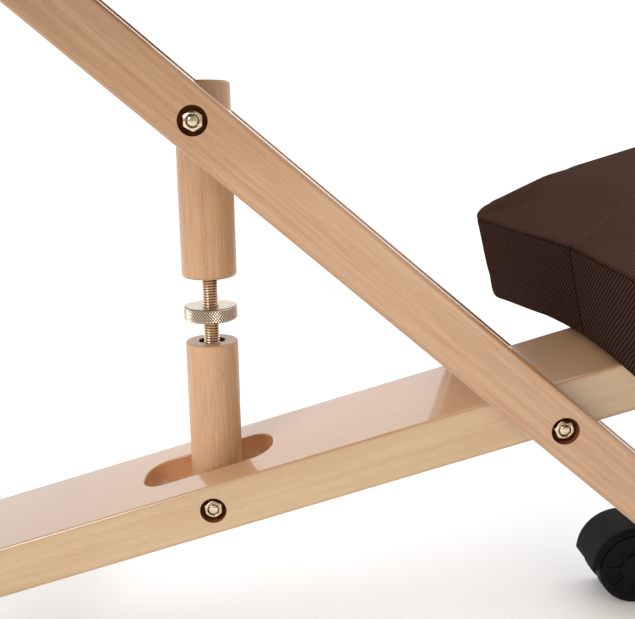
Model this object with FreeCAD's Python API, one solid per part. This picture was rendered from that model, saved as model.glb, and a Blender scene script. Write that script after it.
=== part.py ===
import FreeCAD, Part
import math
import os

# Wooden kneeling chair on four twin-wheel casters.  It faces +X, +Z is up and Y = 0 is its middle.
# A wide centre beam rises forward from the rear crossbar to the knee pad.  Two side rails run from
# the seat down and forward to the front crossbar, one on each side of the beam, and turn on it at
# the main pivot.  Two posts with a left and right hand threaded rod between them set the angle.
# The origin is on the floor, under the middle of the chair.  All sizes are in millimetres.

# --- driving dimensions -------------------------------------------------------------------------
LOWER_BOLT_X = -75.66        # the lower cross bolt, where the lower post turns in the beam
LOWER_BOLT_Z = 200.5

BEAM_SLOPE = 17.2           # degrees, rising forward
BEAM_WIDTH = 84.0
BEAM_THICK = 30.0
BEAM_FRONT = 440.0          # along the beam, from the lower bolt
SLOT_WIDTH = 36.5
SLOT_LENGTH = 84.8
SLOT_CORNER = 15.5
SLOT_OFFSET = -1.3          # middle of the slot along the beam, from the lower bolt

RAIL_SLOPE = 39.7           # degrees, falling forward
RAIL_THICK = 22.0
RAIL_HEIGHT = 30.5
RAIL_GAP = 1.8              # between the beam's side and a rail
RAIL_UP = 259.5             # along the rail, from the main pivot up to the upper cross bolt
PIVOT_ALONG = 203.4         # the main pivot along the beam, from the lower bolt
PIVOT_DROP = 3.2            # and below the beam's middle line

LOWER_POST_D = 32.0
LOWER_POST_TOP = 92.2       # along the post line, from the lower bolt
LOWER_POST_FOOT = 10.0
UPPER_POST_D = 33.0
UPPER_POST_FOOT = 132.1
UPPER_POST_TOP = 245.7
POST_EDGE = 2.4
ROD_D = 10.0
ROD_ENGAGED = 45.0          # in each post at rest
ROD_HOLE_DEPTH = 63.0
INSERT_D = 16.0
INSERT_LENGTH = 18.0
INSERT_RECESS = 1.2
WHEEL_D = 32.4              # knurled adjuster wheel
WHEEL_THICK = 8.4
WHEEL_FOOT = 106.0          # its lower face along the post line

BOLT_D = 6.0
RUNNING_GAP = 0.05          # on the radius, where a bolt or pin turns
OPEN_PIVOT_D = 8.0          # cross hole in the upper post
NUT_FLATS = 10.0
NUT_HEIGHT = 6.0
NUT_SINK = 1.0              # outer face of a nut or bolt head below the wood
BORE_D = 15.5
BORE_DEPTH = 7.0
SPACER_D = 14.0

KNEE_START = 243.0          # rear face of the knee pad along the beam
KNEE_DEPTH = 235.0
KNEE_WIDTH = 456.0
KNEE_HEIGHT = 82.0
PAD_EDGE = 22.0
PAD_CORNER = 32.0
KNEE_ARCH = 2100.0         # radius of the arched knee board's underside, ends down
KNEE_DROOP = 14.0           # room below the beam's top for the arched ends
BOARD_THICK = 12.0
BOARD_INSET = 10.0

SEAT_SLOPE = 10.0           # degrees, falling forward
SEAT_X = -147.0             # a point of the board's underside, from the lower bolt
SEAT_Z = 358.0
SEAT_BACK = -158.0          # rear and front edge of the cushion from that point, along the slope
SEAT_FRONT = 165.0
SEAT_WIDTH = 440.0
SEAT_HEIGHT = 80.0
BEARER_LENGTH = 250.0
BEARER_HEIGHT = 42.0
BEARER_THICK = 20.0

CROSSBAR_LENGTH = 436.0
CROSSBAR_DEPTH = 46.0
CROSSBAR_HEIGHT = 44.0
CROSSBAR_END = 16.0
REAR_BAR_X = -236.0         # from the lower bolt
FRONT_BAR_X = 389.0

CASTER_Y = 187.5
CASTER_WHEEL_R = 33.0
CASTER_WHEEL_WIDTH = 15.0
CASTER_HOOD_R = 39.5
CASTER_HALF_WIDTH = 22.5
CASTER_WEB = 13.0
CASTER_TRAIL = 28.0         # axle behind the stem
CASTER_TOP = 75.0           # underside of the crossbar above the floor
CASTER_AXLE_D = 6.0
CASTER_BOSS_D = 24.0
STEM_D = 11.0
STEM_IN_BAR = 34.0
SOCKET_D = 14.0
SOCKET_FLANGE_D = 22.0

# --- places worked out from them ----------------------------------------------------------------
V = FreeCAD.Vector
X_AXIS, Y_AXIS, Z_AXIS = V(1, 0, 0), V(0, 1, 0), V(0, 0, 1)
LOWER_BOLT = V(LOWER_BOLT_X, 0, LOWER_BOLT_Z)


def along(angle):
    """Unit vector in the XZ plane that rises forward by an angle in degrees."""
    return V(math.cos(math.radians(angle)), 0, math.sin(math.radians(angle)))


BEAM_DIR = along(BEAM_SLOPE)
BEAM_UP = along(BEAM_SLOPE + 90)
RAIL_DIR = along(-RAIL_SLOPE)
PIVOT = LOWER_BOLT + BEAM_DIR * PIVOT_ALONG - BEAM_UP * PIVOT_DROP
UPPER_BOLT = PIVOT - RAIL_DIR * RAIL_UP
POST_DIR = (UPPER_BOLT - LOWER_BOLT).normalize()
POST_ANGLE = math.degrees(math.atan2(POST_DIR.z, POST_DIR.x))
RAIL_INNER = BEAM_WIDTH / 2 + RAIL_GAP
RAIL_OUTER = RAIL_INNER + RAIL_THICK
SEAT_POINT = LOWER_BOLT + V(SEAT_X, 0, SEAT_Z)
BAR_TOP = CASTER_TOP + CROSSBAR_HEIGHT
NODES = {}


# --- shape helpers ------------------------------------------------------------------------------
def cylinder(radius, start, direction, length):
    return Part.makeCylinder(radius, length, start, direction)


def cross(radius, point, y_from, y_to):
    """A cylinder along Y through a point of the XZ plane."""
    return cylinder(radius, V(point.x, y_from, point.z), Y_AXIS, y_to - y_from)


def tube(radius, bore, start, direction, length):
    return cylinder(radius, start, direction, length).cut(cylinder(bore, start, direction, length))


def box(x_from, x_to, y_from, y_to, z_from, z_to):
    return Part.makeBox(x_to - x_from, y_to - y_from, z_to - z_from, V(x_from, y_from, z_from))


def set_on_slope(shape, angle, point):
    """Turn a shape made level at the origin so that its X rises by the angle, and move it."""
    shape.rotate(V(0, 0, 0), Y_AXIS, -angle)
    shape.translate(point)
    return shape


def edges_along(shape, direction, longer_than=5.0):
    """The straight edges that run along a direction."""
    found = []
    for edge in shape.Edges:
        if edge.Length < longer_than or not isinstance(edge.Curve, Part.Line):
            continue
        if abs(edge.tangentAt(edge.FirstParameter).dot(direction)) > 0.9999:
            found.append(edge)
    return found


def bar(x_from, x_to, y_from, y_to, z_from, z_to, arris, direction=X_AXIS):
    """A straight bar with eased arrises along its length."""
    solid = box(x_from, x_to, y_from, y_to, z_from, z_to)
    return solid.makeFillet(arris, edges_along(solid, direction))


def hexagon(flats, point, y_from, y_to):
    """A hexagonal prism along Y with its points up and down."""
    reach = flats / math.sqrt(3)
    corners = [V(point.x + reach * math.sin(math.radians(60 * i)), y_from,
                 point.z + reach * math.cos(math.radians(60 * i))) for i in range(7)]
    return Part.Face(Part.makePolygon(corners)).extrude(V(0, y_to - y_from, 0))


def joined(*shapes):
    solid = shapes[0]
    for other in shapes[1:]:
        solid = solid.fuse(other)
    return solid.removeSplitter()


def rounded_pad(x_from, x_to, width, height, corner, edge, foot=0.0):
    """A cushion's plain envelope, flat below."""
    solid = box(x_from, x_to, -width / 2, width / 2, foot, height)
    solid = solid.makeFillet(corner, edges_along(solid, Z_AXIS))
    rim = [e for e in solid.Edges if abs(e.BoundBox.ZMin - height) < 0.01]
    return solid.makeFillet(edge, rim)


# --- fasteners ----------------------------------------------------------------------------------
def cross_bolt(point, half_width):
    """A bolt along Y with its head on the +Y side and a domed tip in the nut on the -Y side."""
    head_face = half_width - NUT_SINK
    head_seat = half_width - BORE_DEPTH
    tip = -half_width + NUT_SINK - 0.4
    shank = cross(BOLT_D / 2, point, tip, head_seat)
    tip_edge = [e for e in shank.Edges if abs(e.BoundBox.YMax - tip) < 0.01]
    shank = shank.makeFillet(BOLT_D / 2 - 0.9, tip_edge)
    return joined(shank, hexagon(NUT_FLATS, point, head_seat, head_face))


def lock_nut(point, half_width):
    """A lock nut on the -Y side, with a rounded collar over its hexagon."""
    seat = -half_width + BORE_DEPTH
    nut = hexagon(NUT_FLATS, point, seat - NUT_HEIGHT + 1.4, seat)
    collar = cross(NUT_FLATS / 2 - 0.3, point, seat - NUT_HEIGHT, seat - NUT_HEIGHT + 1.4)
    return joined(nut, collar).cut(cross(BOLT_D / 2, point, seat - NUT_HEIGHT, seat))


def bolt_bores(solid, point, half_width, bore_d):
    """Cut the cross hole and the two counterbores for a cross bolt."""
    solid = solid.cut(cross(bore_d / 2, point, -half_width - 1, half_width + 1))
    solid = solid.cut(cross(BORE_D / 2, point, -half_width - 1, -half_width + BORE_DEPTH))
    return solid.cut(cross(BORE_D / 2, point, half_width - BORE_DEPTH, half_width + 1))


def wood_screw(head_top, direction, length, diameter=5.0, head_d=9.6, head=3.2):
    """A screw whose head starts at a point and whose shank runs along a direction."""
    return joined(cylinder(head_d / 2, head_top, direction, head),
                  cylinder(diameter / 2, head_top + direction * head, direction, length - head))


def cut_for_screws(solid, places, direction, length):
    for place in places:
        solid = solid.cut(wood_screw(place, direction, length))
    return solid


# --- crossbars ----------------------------------------------------------------------------------
def crossbar(bar_x):
    x = LOWER_BOLT_X + bar_x
    half = CROSSBAR_DEPTH / 2
    solid = box(x - half, x + half, -CROSSBAR_LENGTH / 2, CROSSBAR_LENGTH / 2, CASTER_TOP, BAR_TOP)
    solid = solid.makeFillet(CROSSBAR_END, edges_along(solid, Z_AXIS))
    rims = [e for e in solid.Edges if abs(e.BoundBox.ZMax - e.BoundBox.ZMin) < 0.01]
    solid = solid.makeFillet(3.0, rims)
    for side in (-1, 1):
        foot = V(x, side * CASTER_Y, CASTER_TOP)
        solid = solid.cut(cylinder(SOCKET_D / 2, foot, Z_AXIS, STEM_IN_BAR + 2))
    return solid


def caster_sockets(bar_x):
    """Two flanged sleeves that hold the stems."""
    sleeves = []
    for side in (-1, 1):
        foot = V(LOWER_BOLT_X + bar_x, side * CASTER_Y, CASTER_TOP)
        sleeve = joined(cylinder(SOCKET_D / 2, foot, Z_AXIS, STEM_IN_BAR + 2),
                        cylinder(SOCKET_FLANGE_D / 2, foot - Z_AXIS * 1.5, Z_AXIS, 1.5))
        bore = cylinder(STEM_D / 2 + RUNNING_GAP, foot - Z_AXIS * 2, Z_AXIS, STEM_IN_BAR + 3)
        sleeves.append(sleeve.cut(bore))
    return Part.makeCompound(sleeves)


def rear_screw_places():
    """Screw heads sunk in the beam's top above the rear crossbar."""
    x = LOWER_BOLT_X + REAR_BAR_X
    top = LOWER_BOLT_Z + (REAR_BAR_X * math.tan(math.radians(BEAM_SLOPE)))
    return [V(x, side * 26.0, top + 8.0) for side in (-1, 1)]


def front_screw_places():
    """Screw heads sunk in the top of each rail above the front crossbar."""
    middle = RAIL_INNER + RAIL_THICK / 2
    return [V(LOWER_BOLT_X + FRONT_BAR_X - 10, side * middle, BAR_TOP + 9.0) for side in (-1, 1)]


def cut_bar_screws(solid, places):
    """Clear a sunk hole above each vertical screw, and the screw itself."""
    solid = cut_for_screws(solid, places, -Z_AXIS, 42.0)
    for place in places:
        solid = solid.cut(cylinder(5.2, place, Z_AXIS, 40))
    return solid


# --- centre beam --------------------------------------------------------------------------------
def center_beam():
    half = BEAM_WIDTH / 2
    solid = bar(-360, BEAM_FRONT, -half, half, -BEAM_THICK / 2, BEAM_THICK / 2, 1.6)
    reach = SLOT_LENGTH / 2
    slot = box(SLOT_OFFSET - reach, SLOT_OFFSET + reach, -SLOT_WIDTH / 2, SLOT_WIDTH / 2,
               -BEAM_THICK, BEAM_THICK)
    solid = solid.cut(slot.makeFillet(SLOT_CORNER, edges_along(slot, Z_AXIS)))
    rim = [e for e in solid.Edges
           if abs(e.BoundBox.ZMin - BEAM_THICK / 2) < 0.01 and e.BoundBox.YLength < SLOT_WIDTH + 1
           and abs(e.CenterOfMass.x) < SLOT_LENGTH]
    solid = solid.makeFillet(1.0, rim)
    solid = set_on_slope(solid, BEAM_SLOPE, LOWER_BOLT)
    bar_x = LOWER_BOLT_X + REAR_BAR_X
    rear_face = bar_x - CROSSBAR_DEPTH / 2
    solid = solid.cut(box(rear_face - 200, rear_face + 4, -half - 1, half + 1, -200, 400))
    solid = solid.cut(box(rear_face, bar_x + CROSSBAR_DEPTH / 2, -half - 1, half + 1, -100, BAR_TOP))
    solid = bolt_bores(solid, LOWER_BOLT, half, BOLT_D)
    solid = solid.cut(cross(BOLT_D / 2 + RUNNING_GAP, PIVOT, -half - 1, half + 1))
    solid = cut_bar_screws(solid, rear_screw_places())
    return cut_for_screws(solid, knee_screw_places(), BEAM_UP, 34.0)


# --- knee pad -----------------------------------------------------------------------------------
def knee_screw_places():
    """Screw heads sunk in the beam's underside below the knee board."""
    foot = LOWER_BOLT - BEAM_UP * (BEAM_THICK / 2)
    return [foot + BEAM_DIR * (KNEE_START + reach) + Y_AXIS * (side * 24.0)
            for reach in (45.0, 165.0) for side in (-1, 1)]


def arch(radius):
    """A wide cylinder along the beam whose top just clears the beam's upper face."""
    start = V(KNEE_START - 50, 0, BEAM_THICK / 2 + 0.7 - KNEE_ARCH)
    return cylinder(radius, start, X_AXIS, KNEE_DEPTH + 100)


def knee_board_blank():
    """An arched board with rounded corners, in place on the beam."""
    solid = box(KNEE_START + BOARD_INSET, KNEE_START + KNEE_DEPTH - BOARD_INSET,
                -KNEE_WIDTH / 2 + BOARD_INSET, KNEE_WIDTH / 2 - BOARD_INSET,
                -KNEE_DROOP, BEAM_THICK + BOARD_THICK)
    solid = solid.makeFillet(PAD_CORNER - BOARD_INSET, edges_along(solid, Z_AXIS))
    solid = solid.common(arch(KNEE_ARCH + BOARD_THICK)).cut(arch(KNEE_ARCH))
    return set_on_slope(solid, BEAM_SLOPE, LOWER_BOLT)


def knee_cushion():
    solid = rounded_pad(KNEE_START, KNEE_START + KNEE_DEPTH, KNEE_WIDTH, KNEE_HEIGHT,
                        PAD_CORNER, PAD_EDGE, -KNEE_DROOP)
    solid.translate(V(0, 0, BEAM_THICK / 2))
    solid = solid.cut(arch(KNEE_ARCH))
    return set_on_slope(solid, BEAM_SLOPE, LOWER_BOLT).cut(knee_board_blank())


# --- side rails ---------------------------------------------------------------------------------
def side_rail(side):
    y_from, y_to = sorted((side * RAIL_INNER, side * RAIL_OUTER))
    solid = bar(-480, 330, y_from, y_to, -RAIL_HEIGHT / 2, RAIL_HEIGHT / 2, 1.8)
    solid = set_on_slope(solid, -RAIL_SLOPE, PIVOT)
    above_seat = box(-400, 400, y_from - 1, y_to + 1, 0, 400)
    solid = solid.cut(set_on_slope(above_seat, -SEAT_SLOPE, SEAT_POINT))
    bar_x = LOWER_BOLT_X + FRONT_BAR_X
    rear_face = bar_x - CROSSBAR_DEPTH / 2
    solid = solid.cut(box(rear_face, bar_x + 200, y_from - 1, y_to + 1, -200, BAR_TOP))
    for point in (PIVOT, UPPER_BOLT):
        solid = solid.cut(cross(BOLT_D / 2, point, y_from - 1, y_to + 1))
        sink_from, sink_to = sorted((side * (RAIL_OUTER - BORE_DEPTH), side * (RAIL_OUTER + 1)))
        solid = solid.cut(cross(BORE_D / 2, point, sink_from, sink_to))
    for point in bearer_bolt_points():
        solid = solid.cut(cross(BOLT_D / 2, point, y_from - 1, y_to + 1))
        sink_from, sink_to = sorted((side * (RAIL_OUTER - BORE_DEPTH), side * (RAIL_OUTER + 1)))
        solid = solid.cut(cross(BORE_D / 2, point, sink_from, sink_to))
    return cut_bar_screws(solid, front_screw_places())


# --- seat ---------------------------------------------------------------------------------------
def bearer_bolt_points():
    """Where each bearer is bolted to its rail, on the rail's middle line."""
    return [PIVOT - RAIL_DIR * (RAIL_UP + reach) for reach in (148.0, 182.0)]


def seat_bearer(side):
    y_from, y_to = sorted((side * (RAIL_INNER - BEARER_THICK), side * RAIL_INNER))
    middle = -20.0
    solid = box(middle - BEARER_LENGTH / 2, middle + BEARER_LENGTH / 2, y_from, y_to,
                -BEARER_HEIGHT, 0)
    lower_ends = [e for e in edges_along(solid, Y_AXIS)
                  if abs(e.BoundBox.ZMax + BEARER_HEIGHT) < 0.1]
    solid = solid.makeFillet(14.0, lower_ends)
    rims = [e for e in solid.Edges if e.BoundBox.YLength < 0.01 and e.BoundBox.ZMin < -1]
    solid = solid.makeFillet(1.5, rims)
    solid = set_on_slope(solid, -SEAT_SLOPE, SEAT_POINT)
    for point in bearer_bolt_points():
        solid = solid.cut(cross(BOLT_D / 2, point, y_from - 1, y_to + 1))
    up = along(90 - SEAT_SLOPE)
    for place in seat_screw_places():
        if place.y * side > 0:
            solid = solid.cut(wood_screw(place, up, 36.0))
            solid = solid.cut(cylinder(5.2, place - up * 30, up, 30))
    return solid


def bearer_bolts():
    """Four bolts, heads in the rails' outer faces and tips inside the bearers' nuts."""
    bolts = []
    for side in (-1, 1):
        for point in bearer_bolt_points():
            seat = side * (RAIL_OUTER - BORE_DEPTH)
            tip = side * (RAIL_INNER - BEARER_THICK - 7.0)
            face = side * (RAIL_OUTER - NUT_SINK)
            bolts.append(joined(cross(BOLT_D / 2, point, *sorted((tip, seat))),
                                hexagon(NUT_FLATS, point, *sorted((seat, face)))))
    return Part.makeCompound(bolts)


def bearer_nuts():
    nuts = []
    for side in (-1, 1):
        for point in bearer_bolt_points():
            seat = side * (RAIL_INNER - BEARER_THICK)
            span = sorted((seat, seat - side * NUT_HEIGHT))
            nut = hexagon(NUT_FLATS, point, *span)
            nuts.append(nut.cut(cross(BOLT_D / 2, point, *span)))
    return Part.makeCompound(nuts)


def seat_screw_places():
    """Screw heads sunk in the bearers' undersides, 24 mm below the seat board."""
    up = along(90 - SEAT_SLOPE)
    middle = RAIL_INNER - BEARER_THICK / 2
    return [SEAT_POINT + along(-SEAT_SLOPE) * reach - up * 26.0 + Y_AXIS * (side * middle)
            for reach in (-125.0, 85.0) for side in (-1, 1)]


def seat_board_blank():
    solid = box(SEAT_BACK + BOARD_INSET, SEAT_FRONT - BOARD_INSET,
                -SEAT_WIDTH / 2 + BOARD_INSET, SEAT_WIDTH / 2 - BOARD_INSET, 0, BOARD_THICK)
    solid = solid.makeFillet(PAD_CORNER - BOARD_INSET, edges_along(solid, Z_AXIS))
    return set_on_slope(solid, -SEAT_SLOPE, SEAT_POINT)


def seat_cushion():
    solid = rounded_pad(SEAT_BACK, SEAT_FRONT, SEAT_WIDTH, SEAT_HEIGHT, PAD_CORNER, PAD_EDGE)
    solid.translate(V(0, 0, 0.4))
    return set_on_slope(solid, -SEAT_SLOPE, SEAT_POINT).cut(seat_board_blank())


# --- height adjuster ----------------------------------------------------------------------------
def on_post(distance):
    return LOWER_BOLT + POST_DIR * distance


def post(diameter, foot, top, edge_at):
    """A round post along the post line, with eased ends."""
    solid = cylinder(diameter / 2, on_post(foot), POST_DIR, top - foot)
    for distance, edge in edge_at:
        near = [e for e in solid.Edges
                if not isinstance(e.Curve, Part.Line)
                and abs((e.CenterOfMass - LOWER_BOLT).dot(POST_DIR) - distance) < 0.1]
        solid = solid.makeFillet(edge, near)
    return solid


def lower_post():
    solid = post(LOWER_POST_D, -LOWER_POST_FOOT, LOWER_POST_TOP,
                 ((LOWER_POST_TOP, 1.2), (-LOWER_POST_FOOT, POST_EDGE)))
    top = on_post(LOWER_POST_TOP)
    solid = solid.cut(cylinder(INSERT_D / 2, top, -POST_DIR, INSERT_RECESS + INSERT_LENGTH))
    solid = solid.cut(cylinder(ROD_D / 2 + 0.6, top, -POST_DIR, ROD_HOLE_DEPTH))
    return solid.cut(cross(BOLT_D / 2 + RUNNING_GAP, LOWER_BOLT, -30, 30))


def upper_post():
    solid = post(UPPER_POST_D, UPPER_POST_FOOT, UPPER_POST_TOP,
                 ((UPPER_POST_TOP, POST_EDGE), (UPPER_POST_FOOT, POST_EDGE)))
    foot = on_post(UPPER_POST_FOOT)
    solid = solid.cut(cylinder(INSERT_D / 2, foot, POST_DIR, INSERT_RECESS + INSERT_LENGTH))
    solid = solid.cut(cylinder(ROD_D / 2 + 0.6, foot, POST_DIR, ROD_HOLE_DEPTH))
    return solid.cut(cross(OPEN_PIVOT_D / 2, UPPER_BOLT, -30, 30))


def thread_insert(mouth, direction):
    """A threaded sleeve sunk in a post's end."""
    return tube(INSERT_D / 2, ROD_D / 2 + RUNNING_GAP, on_post(mouth) + direction * INSERT_RECESS,
                direction, INSERT_LENGTH)


def threaded_rod():
    start = LOWER_POST_TOP - ROD_ENGAGED
    end = UPPER_POST_FOOT + ROD_ENGAGED
    rod = cylinder(ROD_D / 2, on_post(start), POST_DIR, end - start)
    tips = [e for e in rod.Edges if isinstance(e.Curve, Part.Circle)]
    return rod.makeChamfer(1.0, tips)


def adjuster_wheel():
    disc = cylinder(WHEEL_D / 2, on_post(WHEEL_FOOT), POST_DIR, WHEEL_THICK)
    rims = [e for e in disc.Edges if isinstance(e.Curve, Part.Circle)]
    disc = disc.makeChamfer(0.7, rims)
    return disc.cut(cylinder(ROD_D / 2 + RUNNING_GAP, on_post(WHEEL_FOOT - 1), POST_DIR,
                             WHEEL_THICK + 2))


def pair_of_rings(point, y_near, y_far, ring_d, bore_d):
    """One ring on each side, between two distances from the middle."""
    rings = []
    for side in (-1, 1):
        start = V(point.x, side * y_near, point.z)
        rings.append(tube(ring_d / 2, bore_d / 2, start, Y_AXIS * side, y_far - y_near))
    return Part.makeCompound(rings)


# --- casters ------------------------------------------------------------------------------------
def caster_frame(bar_x, side):
    """The axle's middle and the stem's foot of a caster that trails to the rear."""
    stem = V(LOWER_BOLT_X + bar_x, side * CASTER_Y, CASTER_TOP)
    return V(stem.x - CASTER_TRAIL, stem.y, CASTER_WHEEL_R), stem


def caster_hood(axle, stem):
    """Half round cover with a web between the wheels and a boss round the stem."""
    start = axle - Y_AXIS * CASTER_HALF_WIDTH
    drum = cylinder(CASTER_HOOD_R, start, Y_AXIS, 2 * CASTER_HALF_WIDTH)
    drum = drum.makeFillet(4.0, [e for e in drum.Edges if isinstance(e.Curve, Part.Circle)])
    below = box(axle.x - 60, axle.x + 60, axle.y - 60, axle.y + 60, axle.z - 60, axle.z)
    drum = drum.cut(below)
    boss_foot = V(stem.x, stem.y, axle.z + 2)
    boss_top = CASTER_TOP - 2.5
    boss = cylinder(CASTER_BOSS_D / 2, boss_foot, Z_AXIS, boss_top - boss_foot.z)
    boss = boss.makeFillet(3.0, [e for e in boss.Edges if isinstance(e.Curve, Part.Circle)
                                 and e.CenterOfMass.z > boss_top - 1])
    lobe = cylinder(11.0, axle - Y_AXIS * (CASTER_WEB / 2), Y_AXIS, CASTER_WEB)
    hood = joined(drum, boss, lobe)
    for side in (-1, 1):
        room = axle + Y_AXIS * (side * CASTER_WEB / 2)
        hood = hood.cut(cylinder(CASTER_WHEEL_R + 1.4, room, Y_AXIS * side, 60))
    hood = hood.cut(cylinder(STEM_D / 2, stem - Z_AXIS * 30, Z_AXIS, 60))
    return hood.cut(cylinder(CASTER_AXLE_D / 2, axle - Y_AXIS * 30, Y_AXIS, 60))


def caster_stem(stem):
    """Stem with a grip ring below its rounded end."""
    rod = cylinder(STEM_D / 2, stem - Z_AXIS * 30, Z_AXIS, 30 + STEM_IN_BAR)
    end = [e for e in rod.Edges if isinstance(e.Curve, Part.Circle)
           and e.CenterOfMass.z > stem.z + STEM_IN_BAR - 1]
    rod = rod.makeFillet(2.5, end)
    collar = cylinder(8.0, stem - Z_AXIS * 2.5, Z_AXIS, 0.9)
    return joined(rod, collar)


def caster_wheel(axle, side):
    """A moulded wheel with a rounded tread, a dished face and a blind hub bore."""
    inner = CASTER_WEB / 2 + 0.6
    start = axle + Y_AXIS * (side * inner)
    disc = cylinder(CASTER_WHEEL_R, start, Y_AXIS * side, CASTER_WHEEL_WIDTH)
    disc = disc.makeFillet(2.2, [e for e in disc.Edges if isinstance(e.Curve, Part.Circle)])
    face = start + Y_AXIS * (side * (CASTER_WHEEL_WIDTH - 1.6))
    dish = tube(CASTER_WHEEL_R - 6, 11.0, face, Y_AXIS * side, 5)
    disc = disc.cut(dish)
    bore = CASTER_AXLE_D / 2 + RUNNING_GAP
    return disc.cut(cylinder(bore, start, Y_AXIS * side, CASTER_WHEEL_WIDTH - 3))


def add_caster(name, bar_x, side):
    axle, stem = caster_frame(bar_x, side)
    half_axle = CASTER_WEB / 2 + 0.6 + CASTER_WHEEL_WIDTH - 4
    NODES[name + "_stem"] = caster_stem(stem)
    NODES[name + "_hood"] = caster_hood(axle, stem)
    NODES[name + "_axle"] = cylinder(CASTER_AXLE_D / 2, axle - Y_AXIS * half_axle, Y_AXIS,
                                     2 * half_axle)
    NODES[name + "_wheel_right"] = caster_wheel(axle, -1)
    NODES[name + "_wheel_left"] = caster_wheel(axle, 1)


# --- all nodes ----------------------------------------------------------------------------------
NODES["center_beam"] = center_beam()
NODES["rear_crossbar"] = cut_for_screws(crossbar(REAR_BAR_X), rear_screw_places(), -Z_AXIS, 42.0)
NODES["rear_crossbar_screws"] = Part.makeCompound(
    [wood_screw(place, -Z_AXIS, 42.0) for place in rear_screw_places()])
NODES["rear_caster_sockets"] = caster_sockets(REAR_BAR_X)
NODES["lower_cross_bolt"] = cross_bolt(LOWER_BOLT, BEAM_WIDTH / 2)
NODES["lower_cross_nut"] = lock_nut(LOWER_BOLT, BEAM_WIDTH / 2)
NODES["lower_post_washers"] = pair_of_rings(LOWER_BOLT, LOWER_POST_D / 2 + 0.3, SLOT_WIDTH / 2,
                                            SPACER_D, BOLT_D)
NODES["knee_board"] = cut_for_screws(knee_board_blank(), knee_screw_places(), BEAM_UP, 34.0)
NODES["knee_board_screws"] = Part.makeCompound(
    [wood_screw(place, BEAM_UP, 34.0) for place in knee_screw_places()])
NODES["knee_cushion"] = knee_cushion()

NODES["side_rail_right"] = side_rail(-1)
NODES["side_rail_left"] = side_rail(1)
NODES["front_crossbar"] = cut_for_screws(crossbar(FRONT_BAR_X), front_screw_places(), -Z_AXIS,
                                         42.0)
NODES["front_crossbar_screws"] = Part.makeCompound(
    [wood_screw(place, -Z_AXIS, 42.0) for place in front_screw_places()])
NODES["front_caster_sockets"] = caster_sockets(FRONT_BAR_X)
NODES["main_pivot_bolt"] = cross_bolt(PIVOT, RAIL_OUTER)
NODES["main_pivot_nut"] = lock_nut(PIVOT, RAIL_OUTER)
NODES["main_pivot_washers"] = pair_of_rings(PIVOT, BEAM_WIDTH / 2 + 0.1, RAIL_INNER, 20.0, BOLT_D)
NODES["upper_cross_bolt"] = cross_bolt(UPPER_BOLT, RAIL_OUTER)
NODES["upper_cross_nut"] = lock_nut(UPPER_BOLT, RAIL_OUTER)
NODES["upper_post_spacers"] = pair_of_rings(UPPER_BOLT, UPPER_POST_D / 2 + 0.4, RAIL_INNER,
                                            SPACER_D, BOLT_D)
NODES["seat_bearer_right"] = seat_bearer(-1)
NODES["seat_bearer_left"] = seat_bearer(1)
NODES["seat_bearer_bolts"] = bearer_bolts()
NODES["seat_bearer_nuts"] = bearer_nuts()
NODES["seat_board"] = cut_for_screws(seat_board_blank(), seat_screw_places(),
                                     along(90 - SEAT_SLOPE), 36.0)
NODES["seat_screws"] = Part.makeCompound(
    [wood_screw(place, along(90 - SEAT_SLOPE), 36.0) for place in seat_screw_places()])
NODES["seat_cushion"] = seat_cushion()

NODES["lower_post"] = lower_post()
NODES["lower_thread_insert"] = thread_insert(LOWER_POST_TOP, -POST_DIR)
NODES["threaded_rod"] = threaded_rod()
NODES["adjuster_wheel"] = adjuster_wheel()
NODES["upper_post"] = upper_post()
NODES["upper_thread_insert"] = thread_insert(UPPER_POST_FOOT, POST_DIR)

for caster_name, caster_bar, caster_side in (
        ("rear_right_caster", REAR_BAR_X, -1), ("rear_left_caster", REAR_BAR_X, 1),
        ("front_right_caster", FRONT_BAR_X, -1), ("front_left_caster", FRONT_BAR_X, 1)):
    add_caster(caster_name, caster_bar, caster_side)

os.makedirs("parts", exist_ok=True)
whole = Part.makeCompound(list(NODES.values())).BoundBox
for name, shape in NODES.items():
    shape.exportStep("parts/" + name + ".step")
    print(name, len(shape.Solids), shape.isValid(), round(shape.Volume))
print(len(NODES), "nodes", whole)
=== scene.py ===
import math
import bmesh
import bpy
import numpy as np
from mathutils import Matrix, Vector


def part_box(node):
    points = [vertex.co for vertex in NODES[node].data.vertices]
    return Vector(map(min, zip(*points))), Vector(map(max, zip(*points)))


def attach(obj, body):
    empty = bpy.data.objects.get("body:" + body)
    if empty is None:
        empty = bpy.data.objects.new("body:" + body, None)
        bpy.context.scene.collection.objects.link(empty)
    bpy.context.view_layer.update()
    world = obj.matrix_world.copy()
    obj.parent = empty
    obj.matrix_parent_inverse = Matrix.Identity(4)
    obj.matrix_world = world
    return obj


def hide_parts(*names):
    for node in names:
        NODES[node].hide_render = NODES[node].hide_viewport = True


# Kneeling chair: wooden X frame, screw height adjuster, two padded cushions, four hooded casters.
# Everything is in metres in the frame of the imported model. Pieces are made in place, with their
# object at the origin.

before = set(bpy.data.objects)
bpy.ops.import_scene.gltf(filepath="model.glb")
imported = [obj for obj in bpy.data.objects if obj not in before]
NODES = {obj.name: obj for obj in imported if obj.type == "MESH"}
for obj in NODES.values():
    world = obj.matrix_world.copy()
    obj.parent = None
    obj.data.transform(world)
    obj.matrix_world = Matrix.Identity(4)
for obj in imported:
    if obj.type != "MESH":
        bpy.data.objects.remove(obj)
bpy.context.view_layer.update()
MM = 0.001

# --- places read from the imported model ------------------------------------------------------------


def middle(node):
    """The middle of a node on the chair's centre plane."""
    low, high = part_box(node)
    return Vector(((low.x + high.x) / 2, 0, (low.z + high.z) / 2))


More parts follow.
